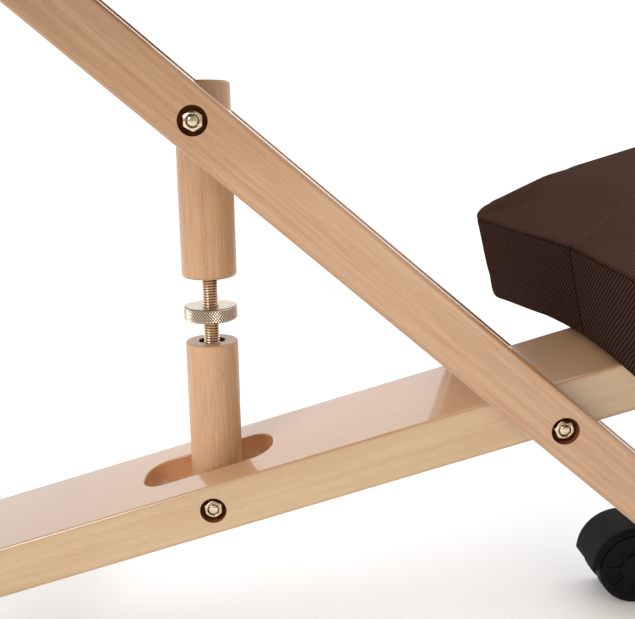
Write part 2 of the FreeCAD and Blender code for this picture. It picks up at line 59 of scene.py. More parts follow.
LOWER, PIVOT, UPPER = (middle(n) for n in
                       ("lower_cross_bolt", "main_pivot_bolt", "upper_cross_bolt"))
POST = (UPPER - LOWER).normalized()
BEAM_SLOPE, RAIL_SLOPE, SEAT_SLOPE = 17.2, -39.7, -10.0


def slope_frame(origin, degrees):
    """Local X rises forward by an angle, local Y is the chair's Y."""
    return Matrix.Translation(origin) @ Matrix.Rotation(-math.radians(degrees), 4, "Y")


def axis_frame(origin, axis, turn=0.0):
    """Local Z runs along an axis."""
    return (Matrix.Translation(origin) @ Vector(axis).to_track_quat("Z", "Y").to_matrix().to_4x4()
            @ Matrix.Rotation(turn, 4, "Z"))


BEAM = slope_frame(LOWER, BEAM_SLOPE)
RAIL = slope_frame(PIVOT, RAIL_SLOPE)
POSTS = axis_frame(LOWER, POST)

# --- shaders --------------------------------------------------------------------------------------


def srgb(red, green, blue):
    """Linear colour from 0-255 screen values."""
    def linear(value):
        value /= 255
        return value / 12.92 if value <= 0.04045 else ((value + 0.055) / 1.055) ** 2.4
    return (linear(red), linear(green), linear(blue), 1.0)


class Shader:
    """A material and short calls for its nodes."""

    def __init__(self, name, **sockets):
        self.material = bpy.data.materials.new(name)
        self.material.use_nodes = True
        self.tree = self.material.node_tree
        self.bsdf = self.tree.nodes["Principled BSDF"]
        for socket, value in sockets.items():
            self.bsdf.inputs[socket.replace("_", " ")].default_value = value

    def put(self, target, value):
        if isinstance(value, bpy.types.NodeSocket):
            self.tree.links.new(value, target)
        else:
            target.default_value = value

    def node(self, kind, inputs, output=0, **settings):
        made = self.tree.nodes.new("ShaderNode" + kind)
        for key, value in settings.items():
            setattr(made, key, value)
        for key, value in inputs.items():
            self.put(made.inputs[key], value)
        return made.outputs[output]

    def math(self, operation, *values, clamp=False):
        return self.node("Math", dict(enumerate(values)), operation=operation, use_clamp=clamp)

    def vector(self, operation, *values, output=0):
        return self.node("VectorMath", dict(enumerate(values)), output, operation=operation)

    def mix(self, factor, a, b, blend="MIX"):
        return self.node("Mix", {0: factor, 6: a, 7: b}, 2, data_type="RGBA", blend_type=blend)

    def noise(self, place, scale, detail=2.0, roughness=0.5, distortion=0.0):
        return self.node("TexNoise", {"Vector": place, "Scale": scale, "Detail": detail,
                                      "Roughness": roughness, "Distortion": distortion}, "Fac")

    def step(self, value, low, high):
        """0 below low, 1 above high."""
        return self.node("MapRange", {"Value": value, "From Min": low, "From Max": high},
                         interpolation_type="SMOOTHSTEP")

    def split(self, place):
        made = self.tree.nodes.new("ShaderNodeSeparateXYZ")
        self.put(made.inputs[0], place)
        return made.outputs

    def local(self, local_frame):
        """Millimetres in a local frame."""
        back = local_frame.inverted()
        place = self.node("TexCoord", {}, "Object")
        place = self.node("Mapping", {"Vector": place, "Location": back.to_translation(),
                                      "Rotation": back.to_euler()})
        return self.vector("MULTIPLY", place, (1000, 1000, 1000))

    def stretch(self, place, x, y, z):
        return self.vector("MULTIPLY", place, (x, y, z))

    def surface(self, color=None, roughness=None, height=None, depth_mm=0.1, strength=1.0):
        if color is not None:
            self.put(self.bsdf.inputs["Base Color"], color)
        if roughness is not None:
            self.put(self.bsdf.inputs["Roughness"], roughness)
        if height is not None:
            bump = self.node("Bump", {"Height": height, "Distance": depth_mm * MM,
                                      "Strength": strength})
            self.put(self.bsdf.inputs["Normal"], bump)
        return self.material


def beech(name, grain, light, dark, seed, flecks=0.5, section=None, bores=(), slot=False,
          streaks=0.55, figure=0.75, coat=(1.0, 0.09), shaded_hollow=0.0):
    """Lacquered beech, its grain along a frame's X; section is (middle y, half y, half z)."""
    s = Shader(name, Coat_Weight=coat[0], Coat_Roughness=coat[1], Coat_IOR=1.72,
               Specular_IOR_Level=0.2)
    plain = s.local(grain)
    place = s.vector("ADD", plain, (seed * 37.0, seed * 3.0, 0))
    drift = s.noise(s.stretch(place, 0.006, 0.05, 0.05), 1.0, 3.0)
    cloud = s.noise(s.stretch(place, 0.012, 0.03, 0.03), 1.0, 2.0)
    rings = s.noise(s.stretch(place, 0.008, 0.30, 0.30), 1.0, 3.0, 0.55)
    fibre = s.noise(s.stretch(place, 0.05, 1.9, 1.9), 1.0, 3.0, 0.6)
    speck = s.step(s.noise(s.stretch(place, 0.52, 1.9, 1.9), 1.0, 1.0, 0.4), 0.60, 0.76)
    patch = s.step(s.noise(s.stretch(place, 0.02, 0.10, 0.10), 1.0, 1.0), 0.35, 0.6)
    tone = s.math("ADD", s.math("MULTIPLY", drift, 0.45), s.math("MULTIPLY", cloud, 0.55))
    tone = s.math("ADD", tone, s.math("MULTIPLY", s.math("SUBTRACT", rings, 0.5), figure))
    tone = s.math("ADD", tone, s.math("MULTIPLY", s.math("SUBTRACT", fibre, 0.5), streaks),
                  clamp=True)
    color = s.mix(tone, light, dark)
    warm = (dark[0] * 0.74, dark[1] * 0.52, dark[2] * 0.36, 1.0)
    color = s.mix(s.math("MULTIPLY", s.math("MULTIPLY", speck, patch), flecks), color, warm)
    x, y, z = s.split(plain)
    if section is not None:
        # arrises are worn a little more orange
        middle_y, half_y, half_z = section
        side = s.math("SUBTRACT", half_y, s.math("ABSOLUTE", s.math("SUBTRACT", y, middle_y)))
        face = s.math("SUBTRACT", half_z, s.math("ABSOLUTE", z))
        away = s.math("ADD", s.math("MAXIMUM", side, face),
                      s.math("MULTIPLY", s.math("SUBTRACT", cloud, 0.5), 3.0))
        edge = s.step(away, 3.0, 0.4)
        color = s.mix(s.math("MULTIPLY", edge, 0.34), color, warm)
    if slot:
        top = s.step(z, half_z - 0.8, half_z - 0.3)
        color = s.mix(s.math("MULTIPLY", top, 0.6), color, srgb(180, 134, 102))
        rear = s.step(x, -10.0, -110.0)
        color = s.mix(s.math("MULTIPLY", s.math("MULTIPLY", top, rear), 0.30), color,
                      srgb(126, 106, 92))
    # end grain is darker and finely dotted
    normal = s.node("TexCoord", {}, "Normal")
    along = s.node("VectorRotate", {"Vector": normal, "Rotation": grain.inverted().to_euler()},
                   rotation_type="EULER_XYZ")
    end = s.step(s.math("ABSOLUTE", s.split(along)[0]), 0.75, 0.95)
    dots = s.noise(s.stretch(place, 0.2, 3.0, 3.0), 1.0, 3.0, 0.7)
    end_color = s.mix(s.step(dots, 0.35, 0.7), dark, tuple(0.62 * c for c in dark[:3]) + (1.0,))
    color = s.mix(s.math("MULTIPLY", end, 0.75), color, end_color)
    # drilled walls are browned raw wood, darkened further as painted shade inside the holes
    drilled_and_shaded = None
    row = s.local(Matrix.Identity(4))
    for centre, bore in bores:
        off = s.vector("SUBTRACT", row, (centre.x * 1000, 0, centre.z * 1000))
        off = s.vector("MULTIPLY", off, (1, 0, 1))
        inside = s.math("LESS_THAN", s.vector("LENGTH", off, output="Value"), bore)
        drilled_and_shaded = inside if drilled_and_shaded is None else s.math("MAXIMUM", drilled_and_shaded, inside)
    if drilled_and_shaded is not None:
        color = s.mix(drilled_and_shaded, color, srgb(120, 66, 38))
    # the post's bore mouth is painted dark brown: raw wood, darkened further as painted shade in the
    # hole
    if shaded_hollow:
        reach = s.vector("LENGTH", s.vector("MULTIPLY", plain, (0, 1, 1)), output="Value")
        color = s.mix(s.step(reach, shaded_hollow + 0.3, shaded_hollow), color, srgb(70, 38, 22))
    if slot:
        bx, by, _ = s.split(s.local(BEAM))
        along_slot = s.math("ABSOLUTE", s.math("ADD", bx, SLOT_BACK))
        reach_x = s.math("MAXIMUM", s.math("SUBTRACT", along_slot, SLOT_HALF_X), 0.0)
        reach_y = s.math("MAXIMUM",
                         s.math("SUBTRACT", s.math("ABSOLUTE", by), SLOT_HALF_Y), 0.0)
        wall = s.math("SQRT", s.math("ADD", s.math("MULTIPLY", reach_x, reach_x),
                                     s.math("MULTIPLY", reach_y, reach_y)))
        sawn = s.mix(fibre, srgb(216, 158, 110), srgb(178, 122, 80))
        color = s.mix(s.math("LESS_THAN", wall, SLOT_WALL), color, sawn)
    rough = s.math("ADD", s.math("MULTIPLY", fibre, 0.14), 0.36)
    return s.surface(color, rough, fibre, 0.03, 0.4)


def raw_and_shaded_bore(name):
    """Unlacquered, browned wood inside a drilled hole, darkened further as painted shade in the hole.
    """
    s = Shader(name, IOR=1.0)
    place = s.local(Matrix.Identity(4))
    fibre = s.noise(s.stretch(place, 0.4, 2.0, 2.0), 1.0, 4.0, 0.6)
    return s.surface(s.mix(fibre, srgb(96, 50, 26), srgb(150, 88, 54)), 0.9, fibre, 0.15, 0.6)


def lining_and_shade(name):
    """Felted cloth that wraps the cushions' boards, made dark as painted shade under the pads."""
    s = Shader(name, IOR=1.0)
    place = s.local(Matrix.Identity(4))
    felt = s.noise(place, 1.6, 4.0, 0.7)
    threads = s.noise(s.stretch(place, 0.5, 3.0, 3.0), 1.0, 2.0)
    color = s.mix(felt, srgb(14, 9, 8), srgb(34, 24, 20))
    return s.surface(color, 0.92, s.math("ADD", felt, threads), 0.2, 0.7)


def metal(name, color, dark, rough, scale=0.5, relief=None):
    """Plated metal, slightly uneven; relief is (root radius, crest radius, root
    colour, crest colour); the root colour is grime and painted shade in the hollows."""
    s = Shader(name, Metallic=1.0)
    place = s.local(Matrix.Identity(4))
    cloud = s.noise(place, scale, 4.0, 0.6)
    fine = s.noise(place, 9.0, 2.0)
    tint = s.mix(s.step(cloud, 0.35, 0.7), color, dark)
    uneven = s.math("ADD", s.math("MULTIPLY", cloud, 0.16), rough - 0.08)
    if relief is not None:
        root, crest, grime_and_shade, shine = relief
        flat = s.vector("MULTIPLY", s.local(POSTS), (1, 1, 0))
        reach = s.vector("LENGTH", flat, output="Value")
        # the relief's roots take grime and painted shade, the rest of it the crest colour
        outer = s.math("GREATER_THAN", reach, root - 0.35)
        low = s.math("MULTIPLY", s.step(reach, crest, root), outer)
        tint = s.mix(low, s.mix(outer, tint, shine), grime_and_shade)
    return s.surface(tint, uneven, fine, 0.02, 0.4)


def plastic(name, color, rough):
    """Moulded plastic with a fine spark-eroded texture."""
    s = Shader(name, IOR=1.16)
    place = s.local(Matrix.Identity(4))
    grit = s.noise(place, 2.6, 3.0, 0.6)
    cloud = s.noise(place, 0.06, 2.0)
    tint = s.mix(cloud, color, tuple(1.5 * c for c in color[:3]) + (1.0,))
    return s.surface(tint, s.math("ADD", s.math("MULTIPLY", cloud, 0.12), rough - 0.06), grit,
                     0.05, 0.5)


def twill(name, pad, crease, arch):
    """Ribbed brown twill whose ribs lean the same way on every face of a pad."""
    s = Shader(name, Sheen_Weight=0.04, Sheen_Roughness=0.4, Sheen_Tint=srgb(196, 164, 148),
               Specular_IOR_Level=0.0)
    place = s.local(pad)
    waver = s.noise(s.stretch(place, 0.04, 0.04, 0.04), 1.0, 2.0)
    x, y, z = s.split(place)
    off = s.math("ABSOLUTE", y)
    level = s.math("ADD", z, s.math("MULTIPLY", s.math("MULTIPLY", y, y), arch))
    wall = s.step(level, crease + 0.1, crease - 0.1)
    turns = s.math("ADD", s.math("MULTIPLY", y, RIB_Y), s.math("MULTIPLY", z, RIB_Z))
    across = s.math("ADD", s.math("MULTIPLY", wall, SIDE_X - TOP_X), TOP_X)
    turns = s.math("ADD", turns, s.math("MULTIPLY", x, across))
    turns = s.math("ADD", turns, s.math("MULTIPLY", waver, 0.8))
    rib = s.math("SINE", s.math("MULTIPLY", turns, 2 * math.pi))
    # ribs would spread where the crown's edge runs along their planes: there they fade out
    slope = (pad.to_3x3() @ Vector((TOP_X, RIB_Y, RIB_Z))).normalized()
    facing = s.vector("DOT_PRODUCT", s.node("TexCoord", {}, "Normal"), tuple(slope), output="Value")
    clear = s.math("SUBTRACT", 1.0, s.step(facing, 0.87, 0.96))
    rib = s.math("ADD", s.math("MULTIPLY", s.math("MULTIPLY", rib, clear), 0.5), 0.5)
    yarn = s.math("SINE", s.math("ADD", s.math("MULTIPLY", y, 6.6), s.math("MULTIPLY", z, -3.6)))
    yarn = s.math("ADD", s.math("MULTIPLY", yarn, 0.5), 0.5)
    fuzz = s.noise(s.stretch(place, 1.9, 1.9, 1.9), 1.0, 3.0, 0.7)
    cloud = s.noise(s.stretch(place, 0.02, 0.02, 0.02), 1.0, 3.0)
    # the middle seam: a flat band over the crown, and a dark line of painted shade down the wall where
    # the seam is pressed in
    crown = s.step(level, crease + 0.5, crease + 3.0)
    band = s.math("MULTIPLY", s.step(off, 3.0, 2.0), crown)
    seam_shade = s.math("MULTIPLY", s.step(off, 1.1, 0.5), s.math("SUBTRACT", 1.0, crown))
    # the crease: a faint line of painted shade, with dark stitches that show near the middle
    hem = s.step(s.math("ABSOLUTE", s.math("SUBTRACT", level, crease)), 0.9, 0.4)
    stitch = s.step(s.math("SINE", s.math("MULTIPLY", y, 1.9)), -0.5, 0.3)
    hem = s.math("MULTIPLY", hem, s.math("ADD", s.math("MULTIPLY", stitch, 0.7), 0.1))
    hem = s.math("MULTIPLY", hem, s.math("ADD", s.math("MULTIPLY", s.step(off, 130, 20), 0.8), 0.2))
    # rib crests are painted lit and rib valleys painted shaded, with random fuzz
    lit = s.math("ADD", s.math("MULTIPLY", rib, 0.80), s.math("MULTIPLY", fuzz, 0.20))
    lit = s.math("ADD", s.math("MULTIPLY", lit, s.math("SUBTRACT", 1.0, band)),
                 s.math("MULTIPLY", band, 0.62))
    color = s.mix(lit, TWILL_SHADED, TWILL_LIT)
    color = s.mix(s.math("MULTIPLY", cloud, 0.25), color, srgb(42, 26, 21))
    # the top panel is painted paler, as a painted sheen
    crown_sheen = s.math("MULTIPLY", crown, s.math("ADD", s.math("MULTIPLY", cloud, 0.16), 0.11))
    color = s.mix(crown_sheen, color, srgb(112, 86, 75))
    # the seam line and the crease are painted near black as shade; the stitches are dark thread
    color = s.mix(s.math("MULTIPLY", s.math("MAXIMUM", seam_shade, hem), 0.85), color, srgb(10, 5, 4))
    height = s.math("ADD", rib, s.math("MULTIPLY", yarn, 0.18))
    height = s.math("ADD", height, s.math("MULTIPLY", fuzz, 0.18))
    height = s.math("MULTIPLY", height, s.math("SUBTRACT", 1.0, s.math("MULTIPLY", band, 0.8)))
    height = s.math("MULTIPLY", height, s.math("SUBTRACT", 1.0, s.math("MULTIPLY", crown, 0.2)))
    return s.surface(color, 0.9, height, 0.45, 1.0)


# --- mesh building --------------------------------------------------------------------------------


def piece(name, points, faces, material, body, stands_for=(), slot=None, sharp=32.0, at=None):
    """An object from points in millimetres of a local frame."""
    points = np.asarray(points, float).reshape(-1, 3) * MM
    if at is not None:
        turn = np.array(at)
        points = points @ turn[:3, :3].T + turn[:3, 3]
    mesh = bpy.data.meshes.new(name)
    mesh.from_pydata(points.tolist(), [], faces)
    mesh.update()
    mesh.shade_smooth()
    mesh.set_sharp_from_angle(angle=math.radians(sharp))
    mesh.materials.append(material)
    made = bpy.data.objects.new(name, mesh)
    bpy.context.scene.collection.objects.link(made)
    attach(made, body)
    if stands_for:
        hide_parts(*stands_for)
    return made


def grid_faces(rows, columns, wrap=True, start=0):
    """Quads over rows of points."""
    faces = []
    for i in range(rows - 1):
        for j in range(columns if wrap else columns - 1):
            a, b = start + i * columns + j, start + i * columns + (j + 1) % columns
            faces.append((a, b, b + columns, a + columns))
    return faces


def lathe(profile, segments=64, outline=None, closed=False):
    """Points and faces turned about Z from (radius, height) pairs; outline scales the radius."""
    angles = np.linspace(0, 2 * math.pi, segments, endpoint=False)
    scale = np.ones(segments) if outline is None else outline(angles)
    points = [(r * k * math.cos(a), r * k * math.sin(a), h)
              for r, h in profile for a, k in zip(angles, scale)]
    rows = len(profile)
    faces = grid_faces(rows, segments)
    if closed:
        last = (rows - 1) * segments
        faces += [(last + j, last + (j + 1) % segments, (j + 1) % segments, j)
                  for j in range(segments)]
    else:
        faces.append(tuple(range(segments))[::-1])
        faces.append(tuple(range((rows - 1) * segments, rows * segments)))
    return points, faces


def merged(*shapes):
    """Several (points, faces) as one."""
    points, faces = [], []
    for more_points, more_faces in shapes:
        base = len(points)
        points += [tuple(p) for p in more_points]
        faces += [tuple(base + i for i in face) for face in more_faces]
    return points, faces


def placed(shape, at):
    """(points, faces) moved by a matrix in millimetres."""
    points, faces = shape
    turn = np.array(at)
    return (np.asarray(points, float) @ turn[:3, :3].T + turn[:3, 3]).tolist(), faces


def hexagon(angles):
    """Distance to a hexagon of unit flats, for lathe()."""
    step = math.pi / 3
    return 1 / np.cos((angles + step / 2) % step - step / 2)


# --- materials ------------------------------------------------------------------------------------
UP_POST = axis_frame(LOWER, POST)
POST_GRAIN = UP_POST @ Matrix.Rotation(-math.pi / 2, 4, "Y")
CROSS_GRAIN = Matrix.Rotation(math.pi / 2, 4, "Z")
BORE = 7.78
SLOT_BACK, SLOT_HALF_X, SLOT_HALF_Y, SLOT_WALL = 1.3, 26.9, 2.75, 15.7
BEAM_LIGHT, BEAM_DARK = srgb(204, 173, 131), srgb(186, 148, 104)
RAIL_LIGHT, RAIL_DARK = srgb(198, 155, 114), srgb(178, 132, 90)
POST_LIGHT, POST_DARK = srgb(208, 168, 130), srgb(176, 130, 92)

WOOD = {
    "center_beam": beech("beech_beam", BEAM, BEAM_LIGHT, BEAM_DARK, 1.0, 0.62, (0.0, 42.0, 15.0),
                         [(LOWER, BORE)], True, figure=1.1),
    "side_rail_right": beech("beech_rail_right", RAIL, RAIL_LIGHT, RAIL_DARK, 2.0, 0.30,
                             (-54.8, 11.0, 15.25), [(PIVOT, BORE), (UPPER, BORE)],
                             streaks=1.7, figure=2.6),
    "side_rail_left": beech("beech_rail_left", RAIL, RAIL_LIGHT, RAIL_DARK, 5.0, 0.30,
                            (54.8, 11.0, 15.25), [(PIVOT, BORE), (UPPER, BORE)],
                            streaks=1.7, figure=2.6),
    "lower_post": beech("beech_lower_post", POST_GRAIN, POST_LIGHT, POST_DARK, 3.0, 0.55,
                        streaks=1.7, coat=(0.35, 0.22), shaded_hollow=8.2),
    "upper_post": beech("beech_upper_post", POST_GRAIN, POST_LIGHT, POST_DARK, 7.0, 0.55,
                        streaks=1.7, coat=(0.35, 0.22), shaded_hollow=8.2),
}
WOOD["rear_crossbar"] = WOOD["front_crossbar"] = beech(
    "beech_crossbar", CROSS_GRAIN, BEAM_LIGHT, BEAM_DARK, 9.0, 0.6)
WOOD["seat_bearer_right"] = WOOD["seat_bearer_left"] = beech(
    "beech_bearer", slope_frame(UPPER, SEAT_SLOPE), RAIL_LIGHT, RAIL_DARK, 11.0, 0.4)
WOOD["knee_board"] = WOOD["seat_board"] = lining_and_shade("board_lining_and_painted_shade")

ZINC = metal("yellow_zinc", srgb(220, 202, 172), srgb(192, 168, 134), 0.20)
NICKEL = metal("warm_nickel", srgb(198, 188, 172), srgb(180, 168, 150), 0.20)
# the rod's and the knurl's root colours are grime and painted shade
BRONZE = metal("rod_steel", srgb(232, 208, 182), srgb(200, 172, 144), 0.16,
               relief=(4.1, 4.6, srgb(124, 92, 68), srgb(232, 206, 178)))
STEEL = metal("screw_steel", srgb(190, 190, 188), srgb(140, 140, 138), 0.34)
KNURLED = metal("knurled_nickel", srgb(200, 190, 174), srgb(178, 166, 148), 0.34,
                relief=(15.72, 15.95, srgb(70, 56, 44), srgb(232, 216, 196)))
NYLON = plastic("nylon_ring", srgb(40, 28, 20), 0.45)
BLACK = plastic("black_plastic", srgb(18, 18, 17), 0.55)
GREY = plastic("tread_grey", srgb(20, 20, 20), 0.50)
TWILL_SHADED, TWILL_LIT = srgb(12, 3, 2), srgb(76, 53, 45)
RIB_Y, RIB_Z, SIDE_X, TOP_X = 0.26, 0.355, -0.25, 0.05         # rib cycles per millimetre
RAW_AND_SHADED_BORE = raw_and_shaded_bore("bore_wood_and_painted_shade")

for node, material in WOOD.items():
    NODES[node].data.materials.clear()
    NODES[node].data.materials.append(material)
PLAIN = {"lower_post_washers": ZINC, "main_pivot_washers": ZINC, "upper_post_spacers": BLACK,
         "rear_caster_sockets": BLACK, "front_caster_sockets": BLACK,
         "rear_crossbar_screws": STEEL, "front_crossbar_screws": STEEL,
         "knee_board_screws": STEEL, "seat_screws": STEEL,
         "seat_bearer_nuts": ZINC, "seat_bearer_bolts": ZINC}
for caster in ("rear_right", "rear_left", "front_right", "front_left"):
    PLAIN[caster + "_caster_hood"] = BLACK
    PLAIN[caster + "_caster_stem"] = STEEL
    PLAIN[caster + "_caster_axle"] = STEEL
for node, material in PLAIN.items():
    NODES[node].data.materials.clear()
    NODES[node].data.materials.append(material)

# --- cross bolts and lock nuts --------------------------------------------------------------------
BORE_R, BORE_DEPTH = 7.75, 7.0
NUT_PROFILE = ((3.05, 0.0), (4.9, 0.0), (5.0, 0.12), (5.0, 5.25), (4.94, 5.5), (4.78, 5.68),
               (4.5, 5.78), (4.2, 5.86), (4.0, 5.96), (3.8, 6.0), (3.58, 5.9), (3.45, 5.7),
               (3.40, 4.9))
RING = ((3.40, 5.3), (3.30, 5.45), (3.10, 5.4), (3.06, 5.0))
HEAD_PROFILE = ((5.0, 0.0), (5.0, 5.1), (4.86, 5.6), (4.55, 5.9), (4.3, 6.0), (0.4, 6.0))


def chamfered_hex(profile, segments=96):
    """A hexagon whose chamfer is a cone, so that its top edge dips at the corners."""
    angles = np.linspace(0, 2 * math.pi, segments, endpoint=False)
    corner = hexagon(angles) - 1
    points = []
    for r, h in profile:
        keep = np.clip((r - 3.9) / 0.75, 0, 1)
        spread = r * (1 + corner * keep)
        drop = corner * 2.2 * keep * (h > 3)
        points += list(zip(spread * np.cos(angles), spread * np.sin(angles), h - drop))
    faces = grid_faces(len(profile), segments)
    faces.append(tuple(range(segments))[::-1])
    faces.append(tuple(range((len(profile) - 1) * segments, len(profile) * segments)))
    return points, faces


def lathe_open(profile, segments=64):
    """A turned surface without end caps."""
    points, faces = lathe(profile, segments)
    return points, [face[::-1] for face in faces if len(face) == 4]


def centre_depth(bolt, side):
    """Y of the wood's outer face where a bolt's nut or head is sunk."""
    low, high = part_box("center_beam" if bolt == "lower_cross" else
                       "side_rail_right" if side == "nut" else "side_rail_left")
    return low.y if side == "nut" else high.y


def bolt_tip(tip):
    """Threaded end with a domed point, from below the collar up to its tip."""
    profile = [(2.62, 2.0)]
    height = 2.4
    while height < tip - 1.5:
        profile += [(2.62, height), (2.96, height + 0.35), (2.96, height + 0.55),
                    (2.62, height + 0.9)]
        height += 1.0
    profile += [(2.9, tip - 0.95), (2.82, tip - 0.72), (2.55, tip - 0.42), (2.0, tip - 0.16),
                (1.2, tip - 0.04), (0.3, tip)]
    return lathe(profile, 48)


for bolt, turn in (("lower_cross", 0.12), ("main_pivot", 0.42), ("upper_cross", 0.02)):
    body = "base" if bolt == "lower_cross" else "seat_frame"
    nut_low, nut_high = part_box(bolt + "_nut")
    centre = middle(bolt + "_bolt")
    outward = axis_frame(Vector((centre.x, nut_high.y, centre.z)), (0, -1, 0), turn)
    piece(bolt + "_lock_nut", *chamfered_hex(NUT_PROFILE), ZINC, body, [bolt + "_nut"], "zinc",
          40, outward)
    piece(bolt + "_nylon_ring", *lathe(RING, 64, closed=True), NYLON, body, (), "black_plastic",
          40, outward)
    for side in ("nut", "head"):
        wall_y = centre_depth(bolt, side)
        # each counterbore is lined with a thin cup of raw wood, dark brown as painted shade in the
        # hole
        cup = [(BORE_R - 0.02, 0.0), (BORE_R - 0.02, BORE_DEPTH - 0.02), (5.2, BORE_DEPTH - 0.02)]
        piece(f"{bolt}_{side}_bore", *lathe_open(cup), RAW_AND_SHADED_BORE, body, (), "beech", 40,
              axis_frame(Vector((centre.x, wall_y, centre.z)), (0, 1 if side == "nut" else -1, 0)))
    bolt_low, bolt_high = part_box(bolt + "_bolt")
    head_seat = bolt_high.y - 6.0 * MM
    length = (head_seat - nut_high.y) / MM
    back = axis_frame(Vector((centre.x, head_seat, centre.z)), (0, 1, 0), turn * 3)
    head = chamfered_hex(HEAD_PROFILE)
    shank = lathe([(2.95, -length), (2.95, 0.2)], 32)
    tip = placed(bolt_tip((nut_high.y - bolt_low.y) / MM),
                 Matrix.Translation((0, 0, -length)) @ Matrix.Rotation(math.pi, 4, "X"))
    piece(bolt + "_bolt_body", *merged(head, shank, tip), ZINC, body, [bolt + "_bolt"], "zinc",
          40, back)

# --- height adjuster ------------------------------------------------------------------------------
ROD_FROM, ROD_TO, ROD_R, THREAD_DEPTH, PITCH = 47.2, 177.1, 4.88, 0.80, 1.62
WHEEL_FROM, WHEEL_TO, WHEEL_R = 106.0, 114.4, 16.2
TURNS_AT = 110.2                # the thread's hand changes inside the wheel


def thread_height(phase):
    """0 in the root, 1 on the crest."""
    phase = phase - np.floor(phase)
    return np.clip((0.5 - np.abs(phase - 0.5)) * 2 * 1.35 - 0.12, 0, 1) ** 0.9


def threaded_rod():
    columns = 40
    rows = int((ROD_TO - ROD_FROM) / (PITCH / 9))
    heights = np.linspace(ROD_FROM, ROD_TO, rows)
    angles = np.linspace(0, 2 * math.pi, columns, endpoint=False)
    along, round_it = np.meshgrid(heights, angles, indexing="ij")
    hand = np.where(along < TURNS_AT, 1.0, -1.0)
    relief = thread_height(along / PITCH + hand * round_it / (2 * math.pi))
    ends = np.clip(np.minimum(along - ROD_FROM, ROD_TO - along) / 1.0, 0, 1)
    radius = ROD_R - THREAD_DEPTH * (1 - relief * ends)
    points = np.stack([radius * np.cos(round_it), radius * np.sin(round_it), along], -1)
    faces = grid_faces(rows, columns)
    faces.append(tuple(range(columns))[::-1])
    faces.append(tuple(range((rows - 1) * columns, rows * columns)))
    return points.reshape(-1, 3), faces


piece("threaded_rod_body", *threaded_rod(), BRONZE, "threaded_rod", ["threaded_rod"], "zinc", 80,
      POSTS)


def knurled_wheel():
    """A disc with a diamond knurled rim, chamfers and a low hub on each face."""
    columns, cells = 720, 60
    angles = np.linspace(0, 2 * math.pi, columns, endpoint=False)
    rows = [(5.05, WHEEL_FROM + 0.3), (6.6, WHEEL_FROM + 0.1), (7.2, WHEEL_FROM),
            (15.0, WHEEL_FROM), (15.5, WHEEL_FROM + 0.12)]
    rim = np.linspace(WHEEL_FROM + 0.75, WHEEL_TO - 0.75, 40)
    rows += [(WHEEL_R, h) for h in rim]
    rows += [(15.5, WHEEL_TO - 0.12), (15.0, WHEEL_TO), (7.2, WHEEL_TO), (6.6, WHEEL_TO - 0.1),
             (5.05, WHEEL_TO - 0.3)]
    points = []
    for radius, height in rows:
        r = np.full(columns, radius)
        if radius >= WHEEL_R - 0.01:
            turn = angles * cells / (2 * math.pi)
            lean = (height - WHEEL_FROM) / 1.9
            one = np.abs(((turn + lean) % 1.0) - 0.5) * 2
            two = np.abs(((turn - lean) % 1.0) - 0.5) * 2
            fade = min(1.0, (height - rim[0]) / 0.3 + 0.25, (rim[-1] - height) / 0.3 + 0.25)
            r = WHEEL_R - 0.55 * (1 - np.minimum(one, two)) ** 1.3 * fade
        points += list(zip(r * np.cos(angles), r * np.sin(angles), np.full(columns, height)))
    faces = grid_faces(len(rows), columns)
    last = (len(rows) - 1) * columns
    faces += [(last + j, last + (j + 1) % columns, (j + 1) % columns, j) for j in range(columns)]
    return points, faces


piece("adjuster_wheel_body", *knurled_wheel(), KNURLED, "adjuster_wheel", ["adjuster_wheel"],
      "nickel", 25, POSTS)

# a threaded sleeve in each post's mouth, with a bright rim and a dark throat
SLEEVE = ((7.95, -19.0), (7.95, -2.6), (7.7, -2.3), (7.0, -2.3), (6.7, -2.7), (6.4, -3.8),
          (5.6, -4.6), (5.08, -5.0), (5.08, -19.0))
for name, mouth, body, flip in (("lower", 92.2, "lower_post", False),
                                ("upper", 132.1, "upper_post", True)):
    at = POSTS @ Matrix.Translation((0, 0, mouth * MM))
    if flip:
        at = at @ Matrix.Rotation(math.pi, 4, "X")
    piece(name + "_sleeve", *lathe(SLEEVE, 64, closed=True), NICKEL, body,
          [name + "_thread_insert"], "nickel", 30, at)

# --- casters --------------------------------------------------------------------------------------
SPOKES = 8
TREAD = ((27.5, 0.4), (30.6, 0.0), (31.9, 0.4), (32.7, 1.4), (33.0, 3.0), (33.0, 12.0),
         (32.7, 13.6), (31.9, 14.6), (30.6, 15.0), (28.2, 15.0), (27.5, 14.4))
FACE = ((3.1, 0.3), (27.6, 0.3), (27.6, 14.2), (26.9, 14.5), (25.6, 14.3), (25.0, 12.9),
        (14.6, 12.2), (13.9, 12.6), (13.2, 14.0), (12.4, 14.5), (6.0, 14.7), (0.4, 14.8))


def spokes():
    """Low ribs across the wheel's dished face."""
    made = []
    for i in range(SPOKES):
        a = 2 * math.pi * i / SPOKES
        turn = np.array([[math.cos(a), -math.sin(a)], [math.sin(a), math.cos(a)]])
        points = []
        for x, half, top in ((13.4, 1.5, 14.0), (19.5, 1.1, 13.6), (25.4, 1.5, 13.9)):
            for y, z in ((-half - 0.5, 12.0), (-half, top), (half, top), (half + 0.5, 12.0)):
                points.append((*(turn @ (x, y)), z))
        made.append((points, [(k + j, k + j + 1, k + j + 5, k + j + 4)
                              for k in (0, 4) for j in (0, 1, 2)]))
    return merged(*made)


